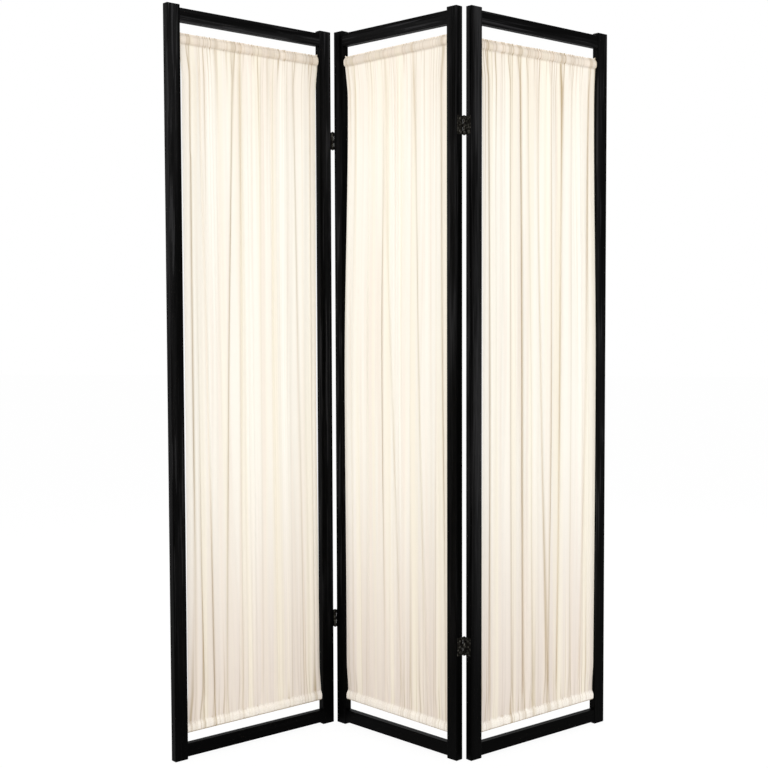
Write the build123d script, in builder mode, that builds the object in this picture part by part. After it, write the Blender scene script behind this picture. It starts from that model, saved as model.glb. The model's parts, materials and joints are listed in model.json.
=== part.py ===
"""Folding room divider screen: hinged wooden frames, each filled by a gathered curtain on two rods.

The screen stands at its half-open zigzag. X runs along its width, the front looks towards -Y and Z is up.
The origin lies on the floor, at the middle of the standing screen's bounding box.
"""
from build123d import *
from math import atan, cos, degrees, radians, sin
import os

os.makedirs("parts", exist_ok=True)

# Overall sizes of one frame, in millimetres
frame_height = 1784.0
frame_width = 450.0
post_width = 33.0
post_depth = 20.0
post_edge_round = 1.5
post_end_round = 1.5

# Rails between the posts
rail_height = 32.0
rail_depth = 18.0
rail_round = 2.0
top_rail_drop = 7.0
bottom_rail_lift = 6.0
tenon_length = 14.0
tenon_height = 20.0
tenon_depth = 9.0
tenon_clearance = 0.1

# Curtain rods, held in blind sockets in the posts
rod_diameter = 8.0
rod_clearance = 0.05
rod_end_play = 0.3
socket_depth = 8.0

# Curtain cloth, gathered on the rods; beats and phases, in radians, make its folds uneven
curtain_top_gap = 26.0
curtain_bottom_gap = 24.0
header_height = 4.0
pocket_height = 21.0
cloth_thickness = 2.0
cloth_rod_clearance = 0.3
pocket_wall = 2.2
fold_count = 18
fold_rise = 3.5
fold_rise_variation = 0.22
fold_rise_beat = 1.7
fold_rise_phase = 1.9
fold_width_variation = 0.2
fold_width_beat = 2.4
fold_width_phase = 0.7
rise_limit = 0.44
rod_side_gap = 2.0

# Stance of the zigzag, in degrees; a fold of nothing is a straight screen
center_turn = -43.0
left_fold = 86.0
right_fold = 85.0

# Butt hinges between the posts' edges
hinge_end_distance = 275.0
hinge_height = 44.0
hinge_gap = 5.0
leaf_thickness = 1.2
leaf_reach = 17.5
leaf_front_clearance = 0.1
barrel_diameter = 6.0
pin_diameter = 2.6
pin_proud = 3.2
pin_fit = 0.02
pin_running_clearance = 0.06
knuckle_count = 5
knuckle_clearance = 0.3
pin_head_diameter = 4.4
pin_head_height = 1.4
pin_head_round = 0.6

# Countersunk screws, a column of them through each leaf
screw_count = 3
screw_pitch = 14.0
screw_inset = 9.5
screw_length = 13.0
screw_shank_diameter = 2.6
screw_head_diameter = 5.2
screw_head_height = 1.1
screw_tip = 3.0
screw_tip_diameter = 0.1
screw_clearance = 0.05
screw_slot_width = 0.7
screw_slot_depth = 0.5
screw_slot_length = 3.6

# Heights and lengths that follow
opening_width = frame_width - 2 * post_width
top_rail_middle = frame_height - top_rail_drop - rail_height / 2
bottom_rail_middle = bottom_rail_lift + rail_height / 2
curtain_top = frame_height - top_rail_drop - rail_height - curtain_top_gap
curtain_bottom = bottom_rail_lift + rail_height + curtain_bottom_gap
top_rod_height = curtain_top - header_height - pocket_height / 2
bottom_rod_height = curtain_bottom + header_height + pocket_height / 2
rod_heights = {"top": top_rod_height, "bottom": bottom_rod_height}
rail_heights = {"top": top_rail_middle, "bottom": bottom_rail_middle}
hinge_heights = {"upper": frame_height - hinge_end_distance, "lower": hinge_end_distance}
pocket_depth = rod_diameter + 2 * (cloth_rod_clearance + pocket_wall)
barrel_radius = barrel_diameter / 2
pin_radius = pin_diameter / 2
shank_radius = screw_shank_diameter / 2
head_radius = screw_head_diameter / 2
sink_angle = 2 * degrees(atan((head_radius - shank_radius) / screw_head_height))


def run(angle):
    """Direction from a frame's left end to its right end."""
    return Vector(cos(radians(angle)), sin(radians(angle)), 0)


def back(angle):
    """Direction from a frame's front face to its back face."""
    return Vector(-sin(radians(angle)), cos(radians(angle)), 0)


# The zigzag is first laid out from the left joint's pin, then moved to the middle of its box.
# The left joint turns in front of the frames and the right joint behind them.
turns = {"left": center_turn + left_fold, "center": center_turn, "right": center_turn + right_fold}
half_gap = hinge_gap / 2
center_corner = run(turns["center"]) * half_gap + back(turns["center"]) * pin_proud
left_corner = back(turns["left"]) * pin_proud - run(turns["left"]) * (half_gap + frame_width)
right_pin = (
    center_corner
    + run(turns["center"]) * (frame_width + half_gap)
    + back(turns["center"]) * (post_depth + pin_proud)
)
right_corner = right_pin + run(turns["right"]) * half_gap - back(turns["right"]) * (post_depth + pin_proud)
corners = {"left": left_corner, "center": center_corner, "right": right_corner}


def reach(side, way):
    """How far a frame with rounded corners reaches along a direction in plan."""
    along = run(turns[side])
    across = back(turns[side])
    middle = corners[side] + along * (frame_width / 2) + across * (post_depth / 2)
    length = abs(along.dot(way)) * (frame_width / 2 - post_edge_round)
    depth = abs(across.dot(way)) * (post_depth / 2 - post_edge_round)
    return middle.dot(way) + length + depth + post_edge_round


x_way = Vector(1, 0, 0)
y_way = Vector(0, 1, 0)
x_middle = (max(reach(side, x_way) for side in turns) - max(reach(side, -x_way) for side in turns)) / 2
y_middle = (max(reach(side, y_way) for side in turns) - max(reach(side, -y_way) for side in turns)) / 2
layout_shift = Vector(-x_middle, -y_middle, 0)
left_pin_place = layout_shift
right_pin_place = right_pin + layout_shift

# One seat per frame: local X along the frame, local Y from front to back, on the floor
seats = {
    side: Plane(origin=corners[side] + layout_shift, x_dir=run(turns[side]), z_dir=(0, 0, 1)) for side in turns
}


# Each leaf belongs to a frame's edge: towards is the way from the pin to its frame, inward is the way
# from the pin's side of the frame into its depth, and the center frame's leaves carry the pins.
leaf_seats = {
    "left_joint_center": (left_pin_place, run(turns["center"]), back(turns["center"])),
    "left_joint_left": (left_pin_place, -run(turns["left"]), back(turns["left"])),
    "right_joint_center": (right_pin_place, -run(turns["center"]), -back(turns["center"])),
    "right_joint_right": (right_pin_place, run(turns["right"]), -back(turns["right"])),
}
stile_leaves = {
    "left_right": "left_joint_left",
    "center_left": "left_joint_center",
    "center_right": "right_joint_center",
    "right_left": "right_joint_right",
}


def screw_planes(leaf, outset):
    """Planes on a frame's edge, one for each screw, looking out of the edge into the hinge gap."""
    pin_place, towards, inward = leaf_seats[leaf]
    column = pin_place + towards * (half_gap - outset) + inward * (pin_proud + screw_inset)
    planes = []
    for level in hinge_heights.values():
        for index in range(screw_count):
            height = level + (index - (screw_count - 1) / 2) * screw_pitch
            planes.append(Plane(origin=column + Vector(0, 0, height), x_dir=(0, 0, 1), z_dir=-towards))
    return planes


for side, seat in seats.items():
    along = seat.x_dir
    across = seat.y_dir

    # Posts, with a mortise for each rail and a blind socket for each rod on the inner face
    for hand, inward_sign in (("left", 1), ("right", -1)):
        post_middle = post_width / 2 if hand == "left" else frame_width - post_width / 2
        inner_face = post_middle + inward_sign * post_width / 2
        with BuildPart() as stile:
            with BuildSketch(seat):
                with Locations((post_middle, post_depth / 2)):
                    RectangleRounded(post_width, post_depth, post_edge_round)
            extrude(amount=frame_height)
            fillet(stile.faces().sort_by(Axis.Z)[0].edges(), post_end_round)
            fillet(stile.faces().sort_by(Axis.Z)[-1].edges(), post_end_round)
            for level in rail_heights.values():
                mouth = seat.from_local_coords(Vector(inner_face, post_depth / 2, level))
                with BuildSketch(Plane(origin=mouth, x_dir=across, z_dir=along * -inward_sign)):
                    Rectangle(tenon_depth + 2 * tenon_clearance, tenon_height + 2 * tenon_clearance)
                extrude(amount=tenon_length + tenon_clearance, mode=Mode.SUBTRACT)
            for level in rod_heights.values():
                mouth = seat.from_local_coords(Vector(inner_face, post_depth / 2, level))
                with BuildSketch(Plane(origin=mouth, x_dir=across, z_dir=along * -inward_sign)):
                    Circle(rod_diameter / 2 + rod_clearance)
                extrude(amount=socket_depth, mode=Mode.SUBTRACT)
            leaf = stile_leaves.get(f"{side}_{hand}")
            if leaf:
                with Locations(*screw_planes(leaf, 0)):
                    Hole(shank_radius + screw_clearance, depth=screw_length - leaf_thickness + screw_clearance)
        stile.part.label = f"{side}_{hand}_stile"
        export_step(stile.part, f"parts/{side}_{hand}_stile.step")

    # Rails, with a stub tenon at each end
    for place, level in rail_heights.items():
        left_end = seat.from_local_coords(Vector(post_width, post_depth / 2, level))
        tenon_end = seat.from_local_coords(Vector(post_width - tenon_length, post_depth / 2, level))
        with BuildPart() as rail:
            with BuildSketch(Plane(origin=left_end, x_dir=across, z_dir=along)):
                RectangleRounded(rail_depth, rail_height, rail_round)
            extrude(amount=opening_width)
            with BuildSketch(Plane(origin=tenon_end, x_dir=across, z_dir=along)):
                Rectangle(tenon_depth, tenon_height)
            extrude(amount=opening_width + 2 * tenon_length)
        rail.part.label = f"{side}_{place}_rail"
        export_step(rail.part, f"parts/{side}_{place}_rail.step")

    # Rods, their ends in the posts' sockets
    for place, level in rod_heights.items():
        rod_start = post_width - socket_depth + rod_end_play
        rod_end = seat.from_local_coords(Vector(rod_start, post_depth / 2, level))
        with BuildPart() as rod:
            with BuildSketch(Plane(origin=rod_end, x_dir=across, z_dir=along)):
                Circle(rod_diameter / 2)
            extrude(amount=frame_width - 2 * rod_start)
        rod.part.label = f"{side}_{place}_rod"
        export_step(rod.part, f"parts/{side}_{place}_rod.step")

    # Curtain: one cloth in upright folds, with a flat pocket round each rod and a frill beyond it
    half_waves = 2 * fold_count
    width_turns = [fold_width_beat * index + fold_width_phase for index in range(half_waves)]
    rise_turns = [fold_rise_beat * index + fold_rise_phase for index in range(half_waves)]
    spread = [1 + fold_width_variation * sin(turn) for turn in width_turns]
    swell = [1 + fold_rise_variation * sin(turn) for turn in rise_turns]
    step = (opening_width - 2 * rod_side_gap) / sum(spread)
    first = post_width + rod_side_gap
    last = frame_width - post_width - rod_side_gap
    front = post_depth / 2 - cloth_thickness / 2
    rear = post_depth / 2 + cloth_thickness / 2
    with BuildPart() as curtain:
        with BuildSketch(seat.offset(curtain_bottom)):
            with BuildLine():
                for edge in (front, rear):
                    start = first
                    for index in range(half_waves):
                        chord = spread[index] * step
                        rise = min(fold_rise * swell[index], rise_limit * chord)
                        crest = edge - rise if index % 2 else edge + rise
                        ThreePointArc((start, edge), (start + chord / 2, crest), (start + chord, edge))
                        start = start + chord
                Line((first, front), (first, rear))
                Line((last, front), (last, rear))
            make_face()
        extrude(amount=curtain_top - curtain_bottom)
        for level in rod_heights.values():
            pocket_end = seat.from_local_coords(Vector(first, post_depth / 2, level))
            with BuildSketch(Plane(origin=pocket_end, x_dir=across, z_dir=along)):
                Rectangle(pocket_depth, pocket_height)
            extrude(amount=last - first)
        for level in rod_heights.values():
            bore_end = seat.from_local_coords(Vector(post_width, post_depth / 2, level))
            with BuildSketch(Plane(origin=bore_end, x_dir=across, z_dir=along)):
                Rectangle(pocket_depth - 2 * pocket_wall, pocket_height - 2 * pocket_wall)
            extrude(amount=opening_width, mode=Mode.SUBTRACT)
    curtain.part.label = f"{side}_curtain"
    export_step(curtain.part, f"parts/{side}_curtain.step")


# Hinges: the center frame's leaf has the outer knuckles, the other frame's leaf those between them
knuckle_pitch = hinge_height / knuckle_count
for leaf, (pin_place, towards, inward) in leaf_seats.items():
    joint, owner = leaf.split("_joint_")
    carries_pin = owner == "center"
    bore_clearance = pin_fit if carries_pin else pin_running_clearance
    upright = 1 if towards.cross(inward).Z > 0 else -1
    plate_start = pin_proud - leaf_front_clearance
    plate_middle = (plate_start + pin_proud + leaf_reach) / 2
    plate_offset = half_gap - leaf_thickness / 2
    for place, level in hinge_heights.items():
        foot = pin_place + Vector(0, 0, level - upright * hinge_height / 2)
        hinge_seat = Plane(origin=foot, x_dir=towards, z_dir=(0, 0, upright))
        with BuildPart() as hinge_leaf:
            with BuildSketch(hinge_seat):
                with Locations((plate_offset, plate_middle)):
                    Rectangle(leaf_thickness, leaf_reach + leaf_front_clearance)
            extrude(amount=hinge_height)
            for index in range(0 if carries_pin else 1, knuckle_count, 2):
                low = index * knuckle_pitch + (knuckle_clearance / 2 if index > 0 else 0)
                last_knuckle = index == knuckle_count - 1
                high = (index + 1) * knuckle_pitch - (0 if last_knuckle else knuckle_clearance / 2)
                with BuildSketch(hinge_seat.offset(low)):
                    Circle(barrel_radius)
                    with Locations((plate_offset, plate_start / 2)):
                        Rectangle(leaf_thickness, plate_start)
                extrude(amount=high - low)
            with BuildSketch(hinge_seat):
                Circle(pin_radius + bore_clearance)
            extrude(amount=hinge_height, mode=Mode.SUBTRACT)
            edge_screws = screw_planes(leaf, leaf_thickness)
            with Locations(*[p for p in edge_screws if abs(p.origin.Z - level) < hinge_height]):
                CounterSinkHole(
                    shank_radius + screw_clearance,
                    head_radius + screw_clearance,
                    depth=leaf_thickness,
                    counter_sink_angle=sink_angle,
                )
        hinge_leaf.part.label = f"{joint}_{place}_hinge_{owner}_leaf"
        export_step(hinge_leaf.part, f"parts/{joint}_{place}_hinge_{owner}_leaf.step")

    # Screws of this edge, heads flush with the leaves
    with BuildPart() as screws:
        with Locations(*screw_planes(leaf, leaf_thickness)):
            Cone(shank_radius, head_radius, screw_head_height, align=(Align.CENTER, Align.CENTER, Align.MAX))
            Cylinder(shank_radius, screw_length - screw_tip, align=(Align.CENTER, Align.CENTER, Align.MAX))
        with Locations(*[p.offset(screw_tip - screw_length) for p in screw_planes(leaf, leaf_thickness)]):
            Cone(screw_tip_diameter / 2, shank_radius, screw_tip, align=(Align.CENTER, Align.CENTER, Align.MAX))
        with Locations(*screw_planes(leaf, leaf_thickness)):
            Box(
                screw_slot_length,
                screw_slot_width,
                screw_slot_depth,
                align=(Align.CENTER, Align.CENTER, Align.MAX),
                mode=Mode.SUBTRACT,
            )
            Box(
                screw_slot_width,
                screw_slot_length,
                screw_slot_depth,
                align=(Align.CENTER, Align.CENTER, Align.MAX),
                mode=Mode.SUBTRACT,
            )
    screws.part.label = f"{joint}_hinge_{owner}_screws"
    export_step(screws.part, f"parts/{joint}_hinge_{owner}_screws.step")

    # Pins, with a low head on each end of the barrel
    if carries_pin:
        for place, level in hinge_heights.items():
            barrel_foot = Plane(origin=pin_place + Vector(0, 0, level - hinge_height / 2))
            with BuildPart() as pin:
                with BuildSketch(barrel_foot):
                    Circle(pin_radius)
                extrude(amount=hinge_height)
                with BuildSketch(barrel_foot):
                    Circle(pin_head_diameter / 2)
                extrude(amount=-pin_head_height)
                with BuildSketch(barrel_foot.offset(hinge_height)):
                    Circle(pin_head_diameter / 2)
                extrude(amount=pin_head_height)
                fillet(pin.faces().sort_by(Axis.Z)[0].edges(), pin_head_round)
                fillet(pin.faces().sort_by(Axis.Z)[-1].edges(), pin_head_round)
            pin.part.label = f"{joint}_{place}_hinge_pin"
            export_step(pin.part, f"parts/{joint}_{place}_hinge_pin.step")
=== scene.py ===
"""Dresses the folding room divider screen.

Three black wooden frames, each with a gathered muslin curtain on two rods, joined by hinges of aged brass.
"""
import json
import logging
import math
from dataclasses import dataclass, field
from enum import Enum
from typing import Any, Dict, List, Sequence, Tuple, Union

import bpy
from mathutils import Matrix, Vector


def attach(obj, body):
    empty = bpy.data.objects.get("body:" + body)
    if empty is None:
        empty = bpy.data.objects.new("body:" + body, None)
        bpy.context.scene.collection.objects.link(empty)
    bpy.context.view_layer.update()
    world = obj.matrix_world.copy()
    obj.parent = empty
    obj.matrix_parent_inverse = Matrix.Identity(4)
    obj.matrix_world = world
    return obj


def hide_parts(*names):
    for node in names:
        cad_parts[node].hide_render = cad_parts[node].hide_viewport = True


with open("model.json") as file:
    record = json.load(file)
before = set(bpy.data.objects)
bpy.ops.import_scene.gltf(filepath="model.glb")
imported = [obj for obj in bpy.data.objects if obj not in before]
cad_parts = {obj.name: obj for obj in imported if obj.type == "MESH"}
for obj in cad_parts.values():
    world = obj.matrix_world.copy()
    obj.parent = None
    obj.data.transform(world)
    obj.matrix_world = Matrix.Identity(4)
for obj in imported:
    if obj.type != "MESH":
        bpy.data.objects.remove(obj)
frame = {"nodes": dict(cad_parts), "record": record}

LOG = logging.getLogger("screen")
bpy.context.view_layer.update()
Colour = Tuple[float, float, float, float]
Pair = Tuple[float, float]
Triple = Tuple[float, float, float]


class Side(Enum):
    """The three frames of the screen, from left to right."""

    LEFT = "left"
    CENTER = "center"
    RIGHT = "right"


# Each frame's direction in plan, in degrees, and how light its left and right posts are stained.
TURNS = {Side.LEFT: 43.0, Side.CENTER: -43.0, Side.RIGHT: 42.0}
POST_TONES = {Side.LEFT: (1.1, 1.2), Side.CENTER: (1.0, 1.9), Side.RIGHT: (3.2, 0.9)}


class Grain(Enum):
    """Which way the wood's grain runs in a member."""

    UPRIGHT = "upright"
    LEVEL = "level"


class Value:
    """A shader socket that takes part in Python arithmetic by adding Math nodes."""

    def __init__(self, graph: "Graph", socket: bpy.types.NodeSocket) -> None:
        """Wraps one output socket of a graph."""
        self.graph = graph
        self.socket = socket

    def _math(self, operation: str, *values: Any) -> "Value":
        """Adds one Math node over this graph's values."""
        return self.graph.node("ShaderNodeMath", {"operation": operation}, dict(enumerate(values)))

    def __add__(self, other: Any) -> "Value":
        """Sum of two values."""
        return self._math("ADD", self, other)

    def __radd__(self, other: Any) -> "Value":
        """Sum with a plain number on the left."""
        return self._math("ADD", other, self)

    def __sub__(self, other: Any) -> "Value":
        """Difference of two values."""
        return self._math("SUBTRACT", self, other)

    def __rsub__(self, other: Any) -> "Value":
        """Difference with a plain number on the left."""
        return self._math("SUBTRACT", other, self)

    def __mul__(self, other: Any) -> "Value":
        """Product of two values."""
        return self._math("MULTIPLY", self, other)

    def __rmul__(self, other: Any) -> "Value":
        """Product with a plain number on the left."""
        return self._math("MULTIPLY", other, self)

    def smooth(self, low: float, high: float) -> "Value":
        """Smooth step of this value.

        Args:
            low: Value at which the step begins.
            high: Value at which the step is complete.

        Returns:
            A value from 0 to 1.
        """
        settings = {"interpolation_type": "SMOOTHSTEP"}
        inputs = {"Value": self, "From Min": low, "From Max": high}
        return self.graph.node("ShaderNodeMapRange", settings, inputs)


class Graph:
    """The node tree of one material or of the world, cleared and ready for new nodes."""

    def __init__(self, tree: bpy.types.NodeTree) -> None:
        """Takes over a node tree."""
        self.tree = tree
        tree.nodes.clear()

    def node(
        self,
        kind: str,
        settings: Dict[str, Any],
        inputs: Dict[Union[int, str], Any],
        output: Union[int, str] = 0,
    ) -> Value:
        """Adds a node.

        Args:
            kind: The node's Blender type.
            settings: Properties that are set before the sockets.
            inputs: Numbers, colours or values for the sockets, by name or place.
            output: Which output socket is returned.

        Returns:
            The chosen output, as a value.
        """
        made = self.tree.nodes.new(kind)
        for name, setting in settings.items():
            setattr(made, name, setting)
        for key, value in inputs.items():
            if isinstance(value, Value):
                self.tree.links.new(value.socket, made.inputs[key])
            else:
                made.inputs[key].default_value = value
        chosen = made.outputs[output] if made.outputs else None
        return Value(self, chosen)

    def mix(self, factor: Any, first: Any, second: Any) -> Value:
        """Mixes two colours by a factor."""
        settings = {"data_type": "RGBA", "clamp_factor": True}
        return self.node("ShaderNodeMix", settings, {0: factor, 6: first, 7: second}, 2)

    def place(self, turn: float, scale: Triple) -> Value:
        """Object coordinates, turned about the upright and scaled.

        Args:
            turn: Angle that brings a frame's direction onto X, in degrees.
            scale: Pattern repeats per metre along each axis.

        Returns:
            The mapped coordinates.
        """
        where = self.node("ShaderNodeTexCoord", {}, {}, "Object")
        settings = {"vector_type": "POINT"}
        rotation = (0.0, 0.0, math.radians(-turn))
        turned = self.node("ShaderNodeMapping", settings, {0: where, "Rotation": rotation})
        return self.node("ShaderNodeMapping", settings, {0: turned, "Scale": scale})

    def cloth_place(self, flat: Pair, repeats: Pair) -> Value:
        """Coordinates on a cloth, scaled to its flat size.

        Args:
            flat: The cloth's flat width and length in metres.
            repeats: Pattern repeats per metre across and along the cloth.

        Returns:
            The mapped coordinates.
        """
        where = self.node("ShaderNodeTexCoord", {}, {}, "UV")
        scale = (flat[0] * repeats[0], flat[1] * repeats[1], 1.0)
        return self.node("ShaderNodeMapping", {}, {0: where, "Scale": scale})

    def attribute(self, name: str) -> Value:
        """A value that the mesh carries at each of its points."""
        return self.node("ShaderNodeAttribute", {"attribute_name": name}, {}, "Fac")

    def height(self) -> Value:
        """Height above the floor."""
        where = self.node("ShaderNodeTexCoord", {}, {}, "Object")
        return self.node("ShaderNodeSeparateXYZ", {}, {0: where}, "Z")

    def noise(self, where: Value, scale: float, detail: float, roughness: float = 0.5) -> Value:
        """Noise from 0 to 1 over mapped coordinates."""
        inputs = {"Vector": where, "Scale": scale, "Detail": detail, "Roughness": roughness}
        return self.node("ShaderNodeTexNoise", {}, inputs)

    def bump(self, height: Value, strength: float, distance: float) -> Value:
        """Surface normal raised by a height."""
        return self.node("ShaderNodeBump", {}, {"Strength": strength, "Distance": distance, "Height": height})

    def surface(self, shader: Value) -> None:
        """Makes a shader the tree's surface."""
        self.node("ShaderNodeOutputMaterial", {}, {"Surface": shader})


def new_graph(name: str) -> Tuple[bpy.types.Material, Graph]:
    """Makes an empty node material.

    Args:
        name: The material's name.

    Returns:
        The material and its node tree.
    """
    material = bpy.data.materials.new(name)
    material.use_nodes = True
    return material, Graph(material.node_tree)


@dataclass(frozen=True)
class BlackWood:
    """Black stained and lacquered wood with a faint grain along each member, and painted shade that darkens
    it towards the foot.

    Repeats are per metre, along and across the grain. A range is where a pattern begins and where it is full.
    """

    deep: Colour = (0.0005, 0.0005, 0.0005, 1.0)
    worn: Colour = (0.0085, 0.0083, 0.0086, 1.0)
    streak: Colour = (0.0215, 0.0212, 0.0222, 1.0)
    roughness: float = 0.44
    specular: float = 0.02
    fibre_repeats: Pair = (4.0, 170.0)
    band_repeats: Pair = (0.9, 34.0)
    pore_range: Pair = (0.52, 0.66)
    stain_range: Pair = (0.42, 0.64)
    thread_range: Pair = (0.55, 0.63)
    streak_range: Pair = (0.36, 0.58)
    grain_strength: float = 0.5
    grain_height: float = 0.0004
    # Painted shade towards the foot: the heights over which it fades out, and how dark it is.
    painted_foot_shade: Pair = (0.10, 0.75)
    painted_foot_shade_strength: float = 0.94

    def _repeats(self, repeats: Pair, grain: Grain) -> Triple:
        """Turns repeats along and across the grain into repeats along a member's axes."""
        along, across = repeats
        return (across, across, along) if grain is Grain.UPRIGHT else (along, across, across)

    def material(self, name: str, turn: float, grain: Grain, tone: float) -> bpy.types.Material:
        """Makes the wood of one member.

        Args:
            name: The material's name.
            turn: The frame's direction in plan, in degrees.
            grain: Which way the grain runs.
            tone: How light the stain is on this member; 1 is the usual black.

        Returns:
            The material.
        """
        material, graph = new_graph(name)
        worn = tuple(channel * tone for channel in self.worn[:3]) + (1.0,)
        where = graph.place(turn, self._repeats(self.fibre_repeats, grain))
        fibres = graph.noise(where, 1.0, 6.0, 0.62)
        bands = graph.noise(graph.place(turn, self._repeats(self.band_repeats, grain)), 1.0, 3.0)
        pores = fibres.smooth(*self.pore_range)
        stain = (bands * 0.6 + fibres * 0.4).smooth(*self.stain_range)
        colour = graph.mix(stain, self.deep, worn)
        colour = graph.mix(pores * 0.8, colour, self.deep)
        threads = graph.noise(where, 1.1, 3.0).smooth(*self.thread_range)
        colour = graph.mix(threads * bands.smooth(*self.streak_range), colour, self.streak)
        # Painted shade: the wood is darkened towards the foot, most on the bottom rail.
        painted_foot_shade_mask = 1.0 - graph.height().smooth(*self.painted_foot_shade)
        colour = graph.mix(painted_foot_shade_mask * self.painted_foot_shade_strength, colour, self.deep)
        rough = self.roughness + (bands - 0.5) * 0.16 + pores * 0.12
        normal = graph.bump(stain * 0.5 - pores, self.grain_strength, self.grain_height)
        inputs = {"Base Color": colour, "Roughness": rough, "Normal": normal}
        inputs["Specular IOR Level"] = self.specular
        graph.surface(graph.node("ShaderNodeBsdfPrincipled", {}, inputs))
        return material


@dataclass(frozen=True)
class AntiqueBrass:
    """Brass darkened with age, brighter in uneven patches and specks."""

    dark: Colour = (0.012, 0.011, 0.009, 1.0)
    bright: Colour = (0.190, 0.181, 0.155, 1.0)
    roughness: float = 0.40
    patch_repeats: float = 170.0
    speck_repeats: float = 1100.0
    wear_range: Pair = (0.42, 0.70)
    speck_height: float = 0.0002

    def material(self, name: str, shine: float) -> bpy.types.Material:
        """Makes the metal.

        Args:
            name: The material's name.
            shine: How much of the bright metal shows, from 0 to 1.

        Returns:
            The material.
        """
        material, graph = new_graph(name)
        where = graph.node("ShaderNodeTexCoord", {}, {}, "Object")
        patches = graph.noise(where, self.patch_repeats, 5.0, 0.6)
        specks = graph.noise(where, self.speck_repeats, 2.0)
        worn = (patches + (specks - 0.5) * 0.35 + (shine - 0.5) * 0.4).smooth(*self.wear_range)
        colour = graph.mix(worn, self.dark, self.bright)
        rough = self.roughness + (1.0 - worn) * 0.22
        normal = graph.bump(specks, 0.12, self.speck_height)
        inputs = {"Base Color": colour, "Metallic": 1.0, "Roughness": rough, "Normal": normal}
        graph.surface(graph.node("ShaderNodeBsdfPrincipled", {}, inputs))
        return material


@dataclass(frozen=True)
class RodWood:
    """Plain pale wood of the rods inside the pockets."""

    pale: Colour = (0.60, 0.46, 0.30, 1.0)
    line: Colour = (0.45, 0.32, 0.19, 1.0)
    roughness: float = 0.55
    fibre_repeats: Triple = (6.0, 260.0, 260.0)
    line_range: Pair = (0.42, 0.66)
    grain_height: float = 0.0003

    def material(self, name: str, turn: float) -> bpy.types.Material:
        """Makes the rods' wood, its grain along the frame.

        Args:
            name: The material's name.
            turn: The frame's direction in plan, in degrees.

        Returns:
            The material.
        """
        material, graph = new_graph(name)
        fibres = graph.noise(graph.place(turn, self.fibre_repeats), 1.0, 5.0, 0.6)
        colour = graph.mix(fibres.smooth(*self.line_range), self.pale, self.line)
        normal = graph.bump(fibres, 0.2, self.grain_height)
        inputs = {"Base Color": colour, "Roughness": self.roughness + fibres * 0.15, "Normal": normal}
        graph.surface(graph.node("ShaderNodeBsdfPrincipled", {}, inputs))
        return material


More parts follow.
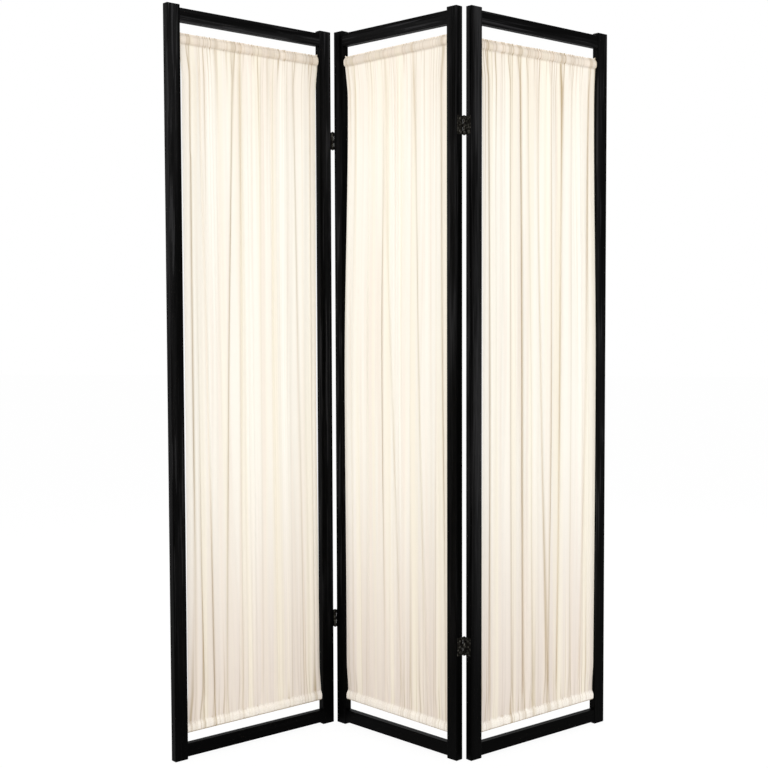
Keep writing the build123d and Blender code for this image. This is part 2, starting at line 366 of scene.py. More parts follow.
@dataclass(frozen=True)
class Muslin:
    """Sheer cream muslin, lightest in a single layer, with painted shade where folds lie on each other and
    towards the foot.

    Repeats are per metre, across and along the cloth. A range is where a pattern begins and where it is full.
    Heights are above the floor.
    """

    light: Colour = (0.948, 0.920, 0.852, 1.0)
    # Painted shade: the cloth's colour near the foot.
    low: Colour = (0.742, 0.650, 0.592, 1.0)
    # Colour of the painted shade in folds, gathers and recesses and under the hem; the stitches take it too.
    fold: Colour = (0.400, 0.288, 0.138, 1.0)
    # Pale double cloth of the lower hem, made lighter still as painted light against the shade of its rounded
    # pocket.
    hem: Colour = (1.000, 0.950, 0.868, 1.0)
    head: Colour = (0.880, 0.770, 0.655, 1.0)
    butter: Colour = (0.940, 0.868, 0.705, 1.0)
    blush: Colour = (0.870, 0.770, 0.680, 1.0)
    glow: Colour = (0.938, 0.884, 0.784, 1.0)
    roughness: float = 0.86
    specular: float = 0.15
    translucency: float = 0.38
    painted_cloth_shade_heights: Pair = (0.06, 0.82)
    head_heights: Pair = (1.42, 1.68)
    slub_repeats: Pair = (420.0, 9.0)
    weft_repeats: Pair = (12.0, 700.0)
    broad_repeats: Pair = (30.0, 0.5)
    mottle_repeats: Pair = (160.0, 110.0)
    butter_range: Pair = (0.46, 0.64)
    blush_range: Pair = (0.48, 0.66)
    mottle_range: Pair = (0.40, 0.60)
    slub_range: Pair = (0.55, 0.80)
    single_strength: float = 0.08
    doubled_strength: float = 0.14
    thread_height: float = 0.0004

    def material(self, name: str, flat: Pair, doubled: bool) -> bpy.types.Material:
        """Makes the cloth.

        Args:
            name: The material's name.
            flat: The cloth's flat width and length in metres, for the size of its threads.
            doubled: Whether the cloth lies double, as in a hem.

        Returns:
            The material.
        """
        material, graph = new_graph(name)
        slubs = graph.noise(graph.cloth_place(flat, self.slub_repeats), 1.0, 4.0, 0.6)
        weft = graph.noise(graph.cloth_place(flat, self.weft_repeats), 1.0, 2.0)
        mottle = graph.noise(graph.cloth_place(flat, self.mottle_repeats), 1.0, 3.0, 0.6)
        painted_shade_and_stitches, band = graph.attribute("painted_shade_and_stitches"), graph.attribute("band")
        height = graph.height()
        # Painted shade: the cloth darkens towards the foot.
        lift = height.smooth(*self.painted_cloth_shade_heights)
        ground = graph.mix(lift, self.low, self.light)
        ground = graph.mix(height.smooth(*self.head_heights) * 0.48, ground, self.head)
        broad = graph.cloth_place(flat, self.broad_repeats)
        warm, rosy = graph.noise(broad, 1.0, 2.0), graph.noise(broad, 1.7, 2.0)
        ground = graph.mix(warm.smooth(*self.butter_range) * 0.70, ground, self.butter)
        ground = graph.mix(rosy.smooth(*self.blush_range) * 0.70, ground, self.blush)
        # The lower hem's colour is the paler double cloth, lightened further as painted light against the
        # pocket's own shade; the upper pocket takes the head colour.
        end = graph.mix(lift, self.hem, self.head)
        ground = graph.mix(band * (0.55 + mottle.smooth(*self.mottle_range) * 0.45), ground, end)
        # Painted shade: the fold colour darkens the cloth where it lies over itself, along its gathers, in
        # its recesses and under the hem; the stitches take the same colour.
        colour = graph.mix(painted_shade_and_stitches * (0.85 + slubs * 0.3), ground, self.fold)
        colour = graph.mix(slubs.smooth(*self.slub_range) * 0.03, colour, self.fold)
        strength = self.doubled_strength if doubled else self.single_strength
        normal = graph.bump(slubs * 0.7 + weft * 0.3, strength, self.thread_height)
        inputs = {"Base Color": colour, "Roughness": self.roughness + slubs * 0.1, "Normal": normal}
        inputs["Specular IOR Level"] = self.specular
        cloth = graph.node("ShaderNodeBsdfPrincipled", {}, inputs)
        through = graph.node("ShaderNodeBsdfTranslucent", {}, {"Color": self.glow, "Normal": normal})
        thin = (1.0 - painted_shade_and_stitches * 0.75) * (0.72 + lift * 0.28) * (1.0 - band * 0.92)
        share = self.translucency * thin
        graph.surface(graph.node("ShaderNodeMixShader", {}, {0: share, 1: cloth, 2: through}))
        return material


@dataclass(frozen=True)
class Seat:
    """Where one frame stands: its front left corner on the floor and its direction in plan."""

    corner: Pair
    turn: float

    def along(self) -> Vector:
        """Direction from the frame's left end to its right end."""
        return Vector((math.cos(math.radians(self.turn)), math.sin(math.radians(self.turn)), 0.0))

    def back(self) -> Vector:
        """Direction from the frame's front to its back."""
        return Vector((-math.sin(math.radians(self.turn)), math.cos(math.radians(self.turn)), 0.0))

    def matrix(self) -> Matrix:
        """Turns frame coordinates (along, back, up) into the screen's own."""
        along, back = self.along(), self.back()
        return Matrix(
            (
                (along.x, back.x, 0.0, self.corner[0]),
                (along.y, back.y, 0.0, self.corner[1]),
                (0.0, 0.0, 1.0, 0.0),
                (0.0, 0.0, 0.0, 1.0),
            )
        )


@dataclass(frozen=True)
class FrameSizes:
    """Sizes of one frame and of the hinge gap between frames, in metres."""

    width: float = 0.450
    height: float = 1.784
    post_width: float = 0.033
    depth: float = 0.020
    rail_height: float = 0.032
    top_drop: float = 0.007
    bottom_lift: float = 0.006
    top_gap: float = 0.026
    bottom_gap: float = 0.024
    half_hinge_gap: float = 0.0025
    pin_proud: float = 0.0032

    def cloth_top(self) -> float:
        """Height of the curtain's upper edge."""
        return self.height - self.top_drop - self.rail_height - self.top_gap

    def cloth_foot(self) -> float:
        """Height of the curtain's lower edge."""
        return self.bottom_lift + self.rail_height + self.bottom_gap


def deselect() -> None:
    """Leaves nothing selected and no edit mode open."""
    if bpy.context.object and bpy.context.object.mode != "OBJECT":
        bpy.ops.object.mode_set(mode="OBJECT")
    bpy.ops.object.select_all(action="DESELECT")


def give_material(piece: bpy.types.Object, material: bpy.types.Material) -> None:
    """Puts one material into every slot of a piece.

    Args:
        piece: The piece to be dressed.
        material: Its finish.
    """
    if not piece.material_slots:
        piece.data.materials.append(material)
    for slot in piece.material_slots:
        slot.material = material


def step(low: float, high: float, value: float) -> float:
    """Smooth step from 0 to 1."""
    share = min(1.0, max(0.0, (value - low) / (high - low)))
    return share * share * (3.0 - 2.0 * share)


def wave(turns: float) -> float:
    """Sine of an angle given in turns."""
    return math.sin(math.tau * turns)


def bell(value: float, reach: float) -> float:
    """A bell curve of height 1 about 0."""
    return math.exp(-((value / reach) ** 2))


def between(stops: Triple, rise: float) -> float:
    """Value at a place along the cloth.

    Args:
        stops: Values near the foot, at the middle and near the top.
        rise: Place along the cloth, from 0 at the foot to 1 at the top.

    Returns:
        The value, with smooth passages between the stops.
    """
    low, middle, high = stops
    if rise < 0.5:
        return low + (middle - low) * step(0.05, 0.5, rise)
    return middle + (high - middle) * step(0.5, 0.92, rise)


@dataclass(frozen=True)
class Tuck:
    """One upright fold where the cloth lies over itself.

    Its place, width and lean are shares of the cloth's width, and its strength is given near the foot, midway
    and near the top.
    """

    place: float
    width: float
    lean: float
    strength: Triple


@dataclass(frozen=True)
class Drape:
    """How one curtain hangs, so that no two are alike.

    Its sides draw in by their waists and come forward by their bows, near the foot, midway and near the top.
    Its pockets have slipped on their rods by so much at the left and the right. Its smoother stretch, calm,
    has a middle and a reach. The gathers at its rods are as strong as its pinch.
    """

    phase: float
    tucks: Tuple[Tuck, ...]
    left_waist: Triple
    right_waist: Triple
    left_bow: Triple
    right_bow: Triple
    top_slip: Pair
    foot_slip: Pair
    calm: Pair
    pinch: float


@dataclass
class Curtain:
    """A gathered muslin curtain on two rods: one long cloth and the back of each pocket.

    A reach is a distance in metres over which something fades, and a share is a part of the cloth's width.
    """

    side: Side
    seat: Seat
    drape: Drape
    sizes: FrameSizes = field(default_factory=FrameSizes)
    columns: int = 480
    rows: int = 150
    pocket_rows: int = 14
    neck_rows: int = 12
    neck: float = 0.045
    frill: float = 0.004
    pocket: float = 0.021
    rod_radius: float = 0.004
    rod_clearance: float = 0.0014
    rod_gap: float = 0.0012
    fullness: float = 1.08
    wave_depth: float = 0.0026
    wave_counts: Triple = (7.0, 16.0, 37.0)
    wave_weights: Triple = (0.54, 0.36, 0.08)
    puckers: float = 31.0
    pucker_depth: float = 0.0007
    pucker_reach: float = 0.030
    gathers: float = 34.0
    gather_reach: float = 0.150
    gather_tone: float = 0.60
    tuck_depth: float = 0.0012
    tuck_scale: float = 1.35
    tuck_slope: float = 0.31
    tuck_tone: float = 1.12
    waist_reach: float = 0.085
    bow_share: float = 0.16
    side_share: float = 0.05
    corner_share: float = 0.03
    loose_reach: float = 0.070
    hem_reach: float = 0.004
    stitch_reach: float = 0.0024
    seam_reach: float = 0.003
    ruffle: float = 0.006
    # Painted shade under the hem: full up to the first height above the cloth's foot, gone by the second.
    painted_rim_shade: Pair = (0.0022, 0.0040)
    back_clearance: float = 0.0006

    def _levels(self) -> List[float]:
        """Works out the heights of the cloth's rows.

        Returns:
            The heights from the foot up, close together at the pockets.
        """
        top, foot = self.sizes.cloth_top(), self.sizes.cloth_foot()
        band = self.frill + self.pocket
        end = [band * index / self.pocket_rows for index in range(self.pocket_rows)]
        end += [band + self.neck * index / self.neck_rows for index in range(self.neck_rows)]
        reach = band + self.neck
        count = self.rows - 2 * len(end)
        span = top - foot - 2 * reach
        middle = [foot + reach + span * index / count for index in range(count + 1)]
        return [foot + rise for rise in end] + middle + [top - drop for drop in reversed(end)]

    def _rod_distance(self, level: float) -> float:
        """Height between a place and the nearer rod's middle."""
        top, foot = self.sizes.cloth_top(), self.sizes.cloth_foot()
        rods = (foot + self.frill + self.pocket / 2, top - self.frill - self.pocket / 2)
        return min(abs(level - rod) for rod in rods)

    def _rise(self, level: float) -> float:
        """Place along the cloth, from 0 at the foot to 1 at the top."""
        top, foot = self.sizes.cloth_top(), self.sizes.cloth_foot()
        return (level - foot) / (top - foot)

    def _waist(self, level: float, stops: Triple) -> float:
        """How far one side of the cloth draws in at a height.

        Args:
            level: Height above the floor.
            stops: Draw-in near the foot, at the middle and near the top.

        Returns:
            Distance from the post's inner face.
        """
        return self.rod_gap + between(stops, self._rise(level)) * self._inside(level) ** 0.8

    def _inside(self, level: float) -> float:
        """How far a height is from the pockets: 0 at a pocket, 1 well away from it."""
        top, foot = self.sizes.cloth_top(), self.sizes.cloth_foot()
        edge = self.frill + self.pocket * 0.8
        return step(0.0, self.waist_reach, min(top - edge - level, level - foot - edge))

    def _slip(self, share: float, level: float) -> float:
        """How far the pockets have slipped up or down round their rods at a place on the cloth.

        Args:
            share: Place across the cloth, from 0 to 1.
            level: Height above the floor.

        Returns:
            The slip in metres, fading to nothing at the middle of the cloth.
        """
        rise = self._rise(level)
        left, right = self.drape.top_slip if rise > 0.5 else self.drape.foot_slip
        return (left + (right - left) * share) * step(0.0, 0.45, abs(rise - 0.5))

    def _waves(self, share: float, rise: float) -> float:
        """Gentle upright waves between the tucks, uneven across the cloth and wandering with height.

        Args:
            share: Place across the cloth, from 0 to 1.
            rise: Place along the cloth, from 0 at the foot to 1 at the top.

        Returns:
            How far the cloth stands back, from -1 to 1.
        """
        own = self.drape.phase
        warp = share + 0.030 * wave(1.3 * share + own) + 0.016 * wave(3.7 * share + 2.0 * own)
        warp += 0.006 * wave(0.8 * rise + 2.1 * share + own)
        broad, middle, fine = (count * warp for count in self.wave_counts)
        waves = (
            wave(broad + own),
            wave(middle + 0.9 * wave(2.0 * share) + 0.25 * rise),
            wave(fine + 0.35 * wave(1.1 * rise + 5.0 * share)),
        )
        swell = 0.75 + 0.25 * wave(1.7 * share + 0.6 * rise + 3.0 * own)
        swell *= 1.0 - 0.60 * self._calm(share)
        return swell * sum(weight * each for weight, each in zip(self.wave_weights, waves))

    def _calm(self, share: float) -> float:
        """How far a place lies within the curtain's smoother stretch, from 0 to 1."""
        middle, reach = self.drape.calm
        return bell(share - middle, reach)

    def _pucker(self, share: float) -> float:
        """Short close gathers at the rods, uneven across the cloth.

        Args:
            share: Place across the cloth, from 0 to 1.

        Returns:
            How far the cloth stands out, from -1 to 1.
        """
        own = self.drape.phase
        warp = share + 0.016 * wave(4.3 * share + own) + 0.009 * wave(11.0 * share + 3.0 * own)
        swell = 0.55 + 0.45 * wave(6.7 * share + 2.3 * own) * wave(2.9 * share + own)
        close = wave(self.puckers * warp)
        closer = wave(1.73 * self.puckers * warp + own)
        return self.drape.pinch * swell * (0.7 * close + 0.3 * closer)

    def _patches(self, share: float) -> float:
        """How tan the upper pocket is, uneven across the cloth.

        Args:
            share: Place across the cloth, from 0 to 1.

        Returns:
            The share of tan, from 0 to about 1.
        """
        own = self.drape.phase
        broad = wave(2.1 * share + 1.7 * own) * wave(4.9 * share + own)
        uneven = 0.62 + 0.26 * broad + 0.12 * wave(9.3 * share + 2.0 * own)
        return uneven * (0.45 + 0.65 * self.drape.pinch)

    def _gather(self, share: float, away: float, rise: float) -> float:
        """Thin lines of painted fold shade that run out of the pockets, each as long and as deep as it
        happens to be.

        Args:
            share: Place across the cloth, from 0 to 1.
            away: Distance from the nearer pocket in metres.
            rise: Place along the cloth, from 0 at the foot to 1 at the top.

        Returns:
            How much of a line the place lies on, from 0 to 1.
        """
        own = self.drape.phase + (0.0 if rise > 0.5 else 0.41)
        wander = 0.012 * wave(5.1 * share + own) + 0.007 * wave(13.0 * share + 2.0 * own)
        lean = 0.006 * wave(3.0 * share + own) * min(1.0, away / 0.3)
        where = self.gathers * (share + wander + lean)
        # The usual hash of a line's number gives each line a chance of its own.
        chance = math.sin(12.9898 * (math.floor(where) + 1.0) + 78.233 * own) * 43758.5453
        chance -= math.floor(chance)
        length = 0.035 + 0.30 * chance**2
        ridge = (0.5 - 0.5 * math.cos(math.tau * where)) ** 9
        return ridge * math.exp(-((away / length) ** 1.5)) * (0.30 + 0.70 * abs(math.sin(57.0 * chance)))

    def _pocket_swell(self, level: float) -> float:
        """How far the cloth stands out round a rod.

        Args:
            level: Height above the floor.

        Returns:
            From 0 beside the pockets to 1 at a rod; the lower pocket stays full down to its hem.
        """
        half = self.pocket / 2
        over = level - (self.sizes.cloth_top() - self.frill - half)
        if abs(over) < half:
            return (1.0 - (over / half) ** 2) ** 0.5
        under = level - (self.sizes.cloth_foot() + self.frill + half)
        if 0.0 <= under < half:
            return 1.0 - (under / half) ** 1.4
        if under < 0.0:
            return 1.0 - min(1.0, -under / (half + self.frill)) ** 6
        return 0.0

    def _tucked(self, share: float, rise: float) -> Triple:
        """What the tucks do to a place on the cloth.

        Args:
            share: Place across the cloth, from 0 to 1.
            rise: Place along the cloth, from 0 at the foot to 1 at the top.

        Returns:
            Shift along the frame in metres, depth in metres, and the painted shade of the fold and of the
            shadow it casts there.
        """
        shift = depth = folded = 0.0
        for index, tuck in enumerate(self.drape.tucks):
            own = self.drape.phase + 0.37 * index
            hand = 1.0 if index % 2 else -1.0
            place = tuck.place + tuck.lean * (rise - 0.5) + 0.0030 * wave(0.9 * rise + own)
            width = self.tuck_scale * tuck.width
            away = (share - place) / (width / self.tuck_slope)
            if abs(away) > 5.0:
                continue
            strength = between(tuck.strength, rise) * (0.90 + 0.10 * wave(2.3 * rise + 2.0 * own))
            turned = min(1.1, 0.30 + 0.85 * strength) if strength > 0.02 else 0.0
            roll = turned * away * math.exp(-0.5 * away * away)
            shift -= 1.95 * width * roll
            depth += 1.65 * self.tuck_depth * hand * roll
            # Painted shade along the fold where the cloth lies over itself, and a faint painted shadow that
            # the fold's edge casts on the cloth behind it.
            line = math.exp(-((away / 1.10) ** 4))
            painted_edge_shadow = 0.08 * bell(away * hand - 1.5, 1.6)
            folded = max(folded, min(0.95, self.tuck_tone * strength) * max(line, painted_edge_shadow))
        return shift, depth, folded

    def _spot(self, share: float, level: float) -> Triple:
        """Where a place on the cloth lies.

        Args:
            share: Place across the cloth, from 0 at the left edge to 1 at the right.
            level: Height above the floor.

        Returns:
            Distance along the frame, depth from the frame's front, and the painted shade there, with the
            stitches' tone.
        """
        sizes, drape = self.sizes, self.drape
        rise = self._rise(level)
        left = sizes.post_width + self._waist(level, drape.left_waist)
        right = sizes.width - sizes.post_width - self._waist(level, drape.right_waist)
        away = max(0.0, self._rod_distance(level) - self.pocket / 2)
        loose = step(0.0, self.loose_reach, away)
        tight = math.exp(-away / self.pucker_reach)
        shift, tuck_depth, folded = self._tucked(share, rise)
        edge = step(0.0, self.side_share, share) * step(0.0, self.side_share, 1.0 - share)
        along = left + (right - left) * share + shift * edge * (0.35 + 0.65 * loose)
        along = min(right, max(left, along))
        pucker, waves = self._pucker(share), self._waves(share, rise)
        depth = self.wave_depth * waves * loose + tuck_depth * loose * edge
        lines = 0.30 * math.exp(-away / self.gather_reach)
        depth -= self.pucker_depth * (1.0 + pucker) * max(tight, lines)
        bow = between(drape.left_bow, rise) * bell(share, self.bow_share)
        bow += between(drape.right_bow, rise) * bell(1.0 - share, self.bow_share)
        bulge = (self.rod_radius + self.rod_clearance) * self._pocket_swell(level)
        depth -= self._inside(level) * bow + bulge
        # Painted shade: the tucks' folds and the recesses where the waves stand back darken the cloth, and
        # the gathers at the rods add theirs.
        painted_shade_and_stitches = folded * (0.45 + 0.55 * loose) * edge + 0.06 * max(0.0, waves - 0.30) * loose
        painted_shade_and_stitches += self._gathered_tone(share, level, pucker)
        return along, sizes.depth / 2 + depth, min(1.0, painted_shade_and_stitches)

    def _gathered_tone(self, share: float, level: float, pucker: float) -> float:
        """Painted shade where the rods gather the cloth, and the stitches' tone.

        Args:
            share: Place across the cloth, from 0 to 1.
            level: Height above the floor.
            pucker: How far the gathers stand out there.

        Returns:
            The painted shade of the thin lines and of the pinched pockets, and the tone of the stitches,
            together.
        """
        rise = self._rise(level)
        over = self._rod_distance(level) - self.pocket / 2
        away = max(0.0, over)
        hemmed = 1.0 - step(0.0, self.hem_reach, away)
        gathered = self._gather(share, away, rise) * (1.0 - 0.5 * hemmed)
        if rise < 0.5:
            gathered *= 1.3 - 1.1 * self._calm(share)
            pinched = 0.34 - 0.26 * hemmed
        else:
            gathered *= 0.35 + 1.35 * self.drape.pinch
            pinched = 0.34
        tone = self.gather_tone * gathered
        tone += pinched * max(0.0, pucker - 0.15) * math.exp(-away / self.pucker_reach)
        return tone + 1.10 * max(0.0, pucker - 0.22) * bell(over, self.stitch_reach)

    def _grid(self, name: str, columns: int, rows: int) -> bpy.types.Object:
        """Adds a flat grid to be hung.

        Args:
            name: The piece's name.
            columns: Cells across the cloth.
            rows: Cells along the cloth.

        Returns:
            The new piece, lying flat at the origin.
        """
        deselect()
        bpy.ops.mesh.primitive_grid_add(x_subdivisions=columns, y_subdivisions=rows, size=2.0)
        piece = bpy.context.object
        piece.name = name
        piece.data.name = name
        return piece

    def _hang(self, piece: bpy.types.Object, levels: Sequence[float], back: bool) -> None:
        """Moves each point of a flat grid to its place on the rods, and notes its painted shade, its stitches
        and its hem band there.

        Args:
            piece: The grid.
            levels: Height of each row, from the foot up.
            back: Whether the piece is the back of a pocket, behind its rod.
        """
        place = self.seat.matrix()
        middle = self.sizes.depth / 2
        painted_shade_and_stitches = piece.data.attributes.new("painted_shade_and_stitches", "FLOAT", "POINT")
        band = piece.data.attributes.new("band", "FLOAT", "POINT")
        top, foot = self.sizes.cloth_top(), self.sizes.cloth_foot()
        rows = len(levels) - 1
        for vertex in piece.data.vertices:
            share = (vertex.co.x + 1.0) / 2.0
            level = levels[round((vertex.co.y + 1.0) / 2.0 * rows)]
            along, depth, folded = self._spot(share, level)
            if back:
                depth = max(depth, middle) + max(self.back_clearance, middle - depth)
            lift = self._slip(share, level) + self._ruffled(share, top - level)
            vertex.co = place @ Vector((along, depth, level + lift))
            seam = self.frill + self.pocket + self.seam_reach * self._pucker(1.0 - 0.7 * share)
            end = min(top - level, level - foot)
            hem = 1.0 - step(seam - self.seam_reach, seam + self.seam_reach, end)
            # Painted shade along the cloth's lower edge, under the hem.
            painted_rim_shade = 1.0 - step(*self.painted_rim_shade, level - foot)
            painted_shade_and_stitches.data[vertex.index].value = max(folded, 0.95 * painted_rim_shade)
            band.data[vertex.index].value = hem * self._patches(share) if self._rise(level) > 0.5 else hem

    def _ruffled(self, share: float, drop: float) -> float:
        """How far the small ruffle over the upper rod stands up.

        Args:
            share: Place across the cloth, from 0 to 1.
            drop: Distance below the cloth's upper edge.

        Returns:
            The rise in metres, most at the two corners.
        """
        if drop >= self.ruffle:
            return 0.0
        corner = max(0.0, 1.0 - min(share, 1.0 - share) / self.corner_share)
        return (0.0011 * self._pucker(share) + 0.003 * corner**2) * (1.0 - drop / self.ruffle)

    def build(self, finish: Muslin) -> bpy.types.Object:
        """Args:
            finish: The muslin that they are dressed in.

        Returns:
            The cloth.
        """
        name = self.side.value
        body = f"{name}_panel"
        levels = self._levels()
        cloth = self._grid(f"{name}_muslin_cloth", self.columns, self.rows)
        self._hang(cloth, levels, False)
        opening = self.sizes.width - 2 * self.sizes.post_width
        flat = (opening * self.fullness, levels[-1] - levels[0])
        give_material(cloth, finish.material(f"{name}_muslin", flat, False))
        self._smooth(cloth)
        backs = []
        rows = self.pocket_rows + 1
        for end, keep in (("top", levels[-rows:]), ("bottom", levels[:rows])):
            strip = self._grid(f"{name}_{end}_pocket_back", self.columns, len(keep) - 1)
            self._hang(strip, keep, True)
            give_material(strip, finish.material(f"{name}_{end}_hem", (flat[0], keep[-1] - keep[0]), True))
            self._smooth(strip)
            backs.append(strip)
        for piece in (cloth, *backs):
            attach(piece, body)
        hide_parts(f"{name}_curtain")
        LOG.info("%s: %d points", cloth.name, len(cloth.data.vertices))
        return cloth

    def _smooth(self, piece: bpy.types.Object) -> None:
        """Shades a piece of cloth smoothly.

        Args:
            piece: The piece to be shaded.
        """
        deselect()
        piece.select_set(True)
        bpy.context.view_layer.objects.active = piece
        bpy.ops.object.shade_smooth()


@dataclass
class WoodenFrame:
    """The wooden members and rods of one frame, dressed in place."""

    side: Side
    seat: Seat
    post_tones: Pair

    def dress(self, wood: BlackWood, rod: RodWood) -> None:
        """Gives each member a wood whose grain follows it.

        Args:
            wood: Finish of the posts and rails.
            rod: Finish of the curtain rods.
        """
        name = self.side.value
        for part, grain, tone in (
            ("left_stile", Grain.UPRIGHT, self.post_tones[0]),
            ("right_stile", Grain.UPRIGHT, self.post_tones[1]),
            ("top_rail", Grain.LEVEL, 1.0),
            ("bottom_rail", Grain.LEVEL, 1.0),
        ):
            material = wood.material(f"{name}_{part}_wood", self.seat.turn, grain, tone)
            give_material(frame["nodes"][f"{name}_{part}"], material)
        pale = rod.material(f"{name}_rod_wood", self.seat.turn)
        for part in ("top_rod", "bottom_rod"):
            give_material(frame["nodes"][f"{name}_{part}"], pale)
        LOG.info("%s frame dressed", name)


@dataclass
class HingeSet:
    """The hinges of one joint, upper and lower, with their pins and screws."""

    side: Side
    plate_shine: float = 0.35
    screw_shine: float = 0.75

    def dress(self, brass: AntiqueBrass) -> None:
        """Dresses leaves, pins and screws in darkened brass.

        Args:
            brass: Finish of the hinges.
        """
        joint = self.side.value
        plate = brass.material(f"{joint}_hinge_brass", self.plate_shine)
        screw = brass.material(f"{joint}_screw_brass", self.screw_shine)
        for place in ("upper", "lower"):
            for part in ("center_leaf", f"{joint}_leaf", "pin"):
                give_material(frame["nodes"][f"{joint}_{place}_hinge_{part}"], plate)
        for owner in ("center", joint):
            give_material(frame["nodes"][f"{joint}_hinge_{owner}_screws"], screw)
        LOG.info("%s hinges dressed", joint)


@dataclass
class Studio:
    """Pale floor, soft light and the photograph's camera."""

    eye: Triple = (0.32264, -3.18703, 1.06073)
    yaw: float = 1.45
    pitch: float = -2.97
    roll: float = -0.22
    sensor: float = 36.0
    lens: float = 60.253
    sideways_shift: float = -0.2292
    far_clip: float = 60.0
    floor_size: float = 40.0
    floor_drop: float = 0.0005
    floor_pale: Colour = (0.92, 0.92, 0.92, 1.0)
    floor_glow: float = 1.02
    floor_white: float = 0.92
    white: Colour = (1.0, 1.0, 1.0, 1.0)
    ambient: float = 0.74
    aim: Triple = (0.0, 0.0, 1.2)

    def camera(self) -> None:
        """Places the camera where the photograph was taken from."""
        data = bpy.data.cameras.new("photo_camera")
        camera = bpy.data.objects.new("photo_camera", data)
        bpy.context.collection.objects.link(camera)
        data.sensor_width = self.sensor
        data.lens = self.lens
        data.shift_x = self.sideways_shift
        data.clip_end = self.far_clip
        turn = Matrix.Rotation(math.radians(-self.yaw), 4, "Z")
        tilt = Matrix.Rotation(math.radians(90.0 + self.pitch), 4, "X")
        lean = Matrix.Rotation(math.radians(-self.roll), 4, "Z")
        camera.matrix_world = Matrix.Translation(Vector(self.eye)) @ turn @ tilt @ lean
        bpy.context.scene.camera = camera

    def floor(self) -> None:
        """Lays a wide pale floor that keeps a faint shadow."""
        deselect()
        bpy.ops.mesh.primitive_plane_add(size=self.floor_size, location=(0.0, 0.0, -self.floor_drop))
        floor = bpy.context.object
        floor.name = "studio_floor"
        material, graph = new_graph("studio_floor_white")
        rays = graph.node("ShaderNodeLightPath", {}, {}, "Is Camera Ray")
        gloss = graph.node("ShaderNodeLightPath", {}, {}, "Is Glossy Ray")
        pale = graph.node("ShaderNodeBsdfDiffuse", {}, {"Color": self.floor_pale})
        white = graph.node("ShaderNodeEmission", {}, {"Color": self.white, "Strength": self.floor_glow})
        seen = (rays + gloss) * self.floor_white
        graph.surface(graph.node("ShaderNodeMixShader", {}, {0: seen, 1: pale, 2: white}))
        give_material(floor, material)

    def light(self) -> None:
        """Lights the screen softly from the front and above, before a white surround."""
        world = bpy.data.worlds.new("studio_world")
        bpy.context.scene.world = world
        world.use_nodes = True
        graph = Graph(world.node_tree)
        rays = graph.node("ShaderNodeLightPath", {}, {}, "Is Camera Ray")
        gloss = graph.node("ShaderNodeLightPath", {}, {}, "Is Glossy Ray")
        clear = graph.node("ShaderNodeLightPath", {}, {}, "Is Transmission Ray")
        seen = graph.node("ShaderNodeMath", {"operation": "MINIMUM"}, {0: rays + gloss + clear, 1: 1.0})
        strength = self.ambient + seen * (1.0 - self.ambient)
        back = graph.node("ShaderNodeBackground", {}, {"Color": self.white, "Strength": strength})
        graph.node("ShaderNodeOutputWorld", {}, {"Surface": back})
        self._lamp("key_light", (-1.6, -2.6, 3.1), size=2.2, power=46.0)
        self._lamp("fill_light", (2.4, -2.2, 2.2), size=2.6, power=30.0)
        self._lamp("back_light", (0.2, 2.6, 3.0), size=2.4, power=34.0)

    def _lamp(self, name: str, place: Triple, size: float, power: float) -> None:
        """Adds a square soft lamp that points at the screen.

        Args:
            name: The lamp's name.
            place: Where it hangs.
            size: Side of the lamp in metres.
            power: Its power in watts.
        """
        data = bpy.data.lights.new(name, "AREA")
        data.size = size
        data.energy = power
        lamp = bpy.data.objects.new(name, data)
        bpy.context.collection.objects.link(lamp)
        lamp.location = place
        lamp.rotation_mode = "QUATERNION"
        lamp.rotation_quaternion = (Vector(self.aim) - Vector(place)).to_track_quat("-Z", "Y")


def seats(sizes: FrameSizes) -> Dict[Side, Seat]:
    """Where the three frames stand, worked out from the joints' pins.

    Args:
        sizes: Sizes of the frames.

    Returns:
        The seat of each frame.
    """
    joints = frame["record"]["behaviour"]["joints"]
    pins = {joint["name"]: Vector(joint["pos_m"]) for joint in joints}
    plain = {side: Seat((0.0, 0.0), turn) for side, turn in TURNS.items()}
    gap, proud = sizes.half_hinge_gap, sizes.pin_proud
    center, left, right = plain[Side.CENTER], plain[Side.LEFT], plain[Side.RIGHT]
    corners = {
        Side.CENTER: pins["left_fold"] + center.along() * gap + center.back() * proud,
        Side.LEFT: pins["left_fold"] + left.back() * proud - left.along() * (gap + sizes.width),
        Side.RIGHT: pins["right_fold"] + right.along() * gap - right.back() * (proud + sizes.depth),
    }
    return {side: Seat((corner.x, corner.y), TURNS[side]) for side, corner in corners.items()}


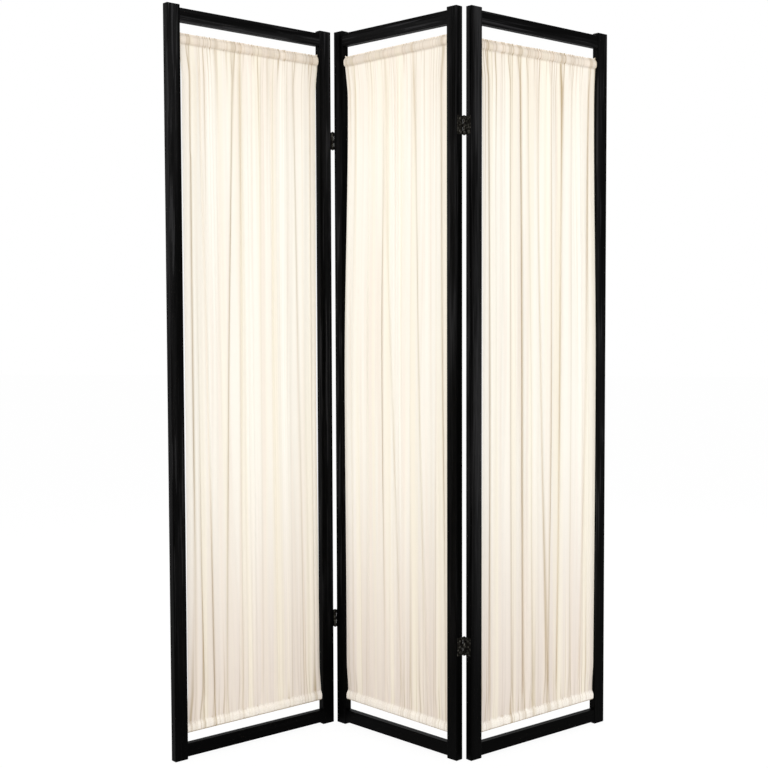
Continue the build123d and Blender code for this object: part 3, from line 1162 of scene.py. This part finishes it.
def drapes() -> Dict[Side, Drape]:
    """Chooses how each curtain hangs, its tucks in order from left to right.

    Returns:
        The drape of each frame's curtain.
    """
    left = (
        Tuck(0.055, 0.0040, 0.000, (0.30, 0.80, 0.80)),
        Tuck(0.096, 0.0034, -0.050, (0.85, 0.18, 0.00)),
        Tuck(0.160, 0.0036, -0.070, (0.90, 0.25, 0.35)),
        Tuck(0.320, 0.0046, 0.085, (0.30, 0.75, 0.70)),
        Tuck(0.405, 0.0042, 0.025, (0.20, 0.35, 0.50)),
        Tuck(0.560, 0.0032, 0.020, (0.15, 0.08, 0.15)),
        Tuck(0.655, 0.0038, -0.030, (0.20, 0.25, 0.32)),
        Tuck(0.852, 0.0042, -0.060, (0.30, 0.32, 0.40)),
        Tuck(0.955, 0.0034, -0.010, (0.12, 0.18, 0.50)),
    )
    center = (
        Tuck(0.075, 0.0036, 0.005, (0.20, 0.18, 0.40)),
        Tuck(0.220, 0.0036, 0.015, (0.16, 0.26, 0.22)),
        Tuck(0.370, 0.0046, -0.018, (0.10, 1.15, 0.15)),
        Tuck(0.462, 0.0036, -0.200, (0.32, 0.35, 0.15)),
        Tuck(0.640, 0.0032, 0.030, (0.25, 0.08, 0.05)),
        Tuck(0.735, 0.0042, -0.130, (0.16, 0.48, 0.52)),
        Tuck(0.886, 0.0034, 0.010, (0.50, 0.05, 0.05)),
        Tuck(0.957, 0.0042, -0.045, (0.45, 0.50, 0.36)),
    )
    right = (
        Tuck(0.064, 0.0044, -0.015, (0.50, 0.78, 1.00)),
        Tuck(0.247, 0.0038, -0.015, (0.85, 0.60, 0.60)),
        Tuck(0.346, 0.0046, -0.040, (0.50, 1.25, 0.75)),
        Tuck(0.420, 0.0034, -0.050, (0.75, 0.10, 0.30)),
        Tuck(0.516, 0.0040, -0.110, (0.65, 0.46, 0.36)),
        Tuck(0.600, 0.0044, 0.010, (0.70, 0.90, 0.40)),
        Tuck(0.684, 0.0040, 0.045, (0.45, 0.52, 0.52)),
        Tuck(0.785, 0.0036, 0.004, (0.42, 0.30, 0.26)),
        Tuck(0.910, 0.0040, 0.085, (0.32, 0.22, 0.80)),
    )
    return {
        Side.LEFT: Drape(
            phase=0.17,
            tucks=left,
            left_waist=(0.004, 0.005, 0.005),
            right_waist=(0.002, 0.006, 0.005),
            left_bow=(0.001, 0.003, 0.002),
            right_bow=(-0.001, -0.002, -0.001),
            top_slip=(0.0015, 0.0025),
            foot_slip=(-0.0005, 0.0015),
            calm=(0.60, 0.22),
            pinch=0.85,
        ),
        Side.CENTER: Drape(
            phase=0.58,
            tucks=center,
            left_waist=(0.001, 0.000, 0.010),
            right_waist=(0.004, 0.005, 0.005),
            left_bow=(0.005, 0.007, 0.001),
            right_bow=(0.000, 0.001, 0.000),
            top_slip=(0.0000, 0.0050),
            foot_slip=(0.0025, -0.0020),
            calm=(0.30, 0.15),
            pinch=0.45,
        ),
        Side.RIGHT: Drape(
            phase=0.83,
            tucks=right,
            left_waist=(0.004, 0.005, 0.005),
            right_waist=(0.001, 0.000, 0.004),
            left_bow=(0.001, 0.003, 0.002),
            right_bow=(0.006, 0.008, 0.001),
            top_slip=(-0.0055, -0.0005),
            foot_slip=(-0.0025, 0.0015),
            calm=(0.15, 0.06),
            pinch=0.92,
        ),
    }


def main() -> None:
    """Builds and dresses the whole screen."""
    logging.basicConfig(level=logging.INFO, format="%(name)s: %(message)s")
    bpy.context.scene.view_settings.view_transform = "Standard"
    sizes = FrameSizes()
    places = seats(sizes)
    studio = Studio()
    studio.camera()
    studio.floor()
    studio.light()
    wood, brass, rod, muslin = BlackWood(), AntiqueBrass(), RodWood(), Muslin()
    hangings = drapes()
    for side, seat in places.items():
        WoodenFrame(side, seat, POST_TONES[side]).dress(wood, rod)
        Curtain(side, seat, hangings[side], sizes).build(muslin)
    for side in (Side.LEFT, Side.RIGHT):
        HingeSet(side).dress(brass)


if __name__ == "__main__":
    main()
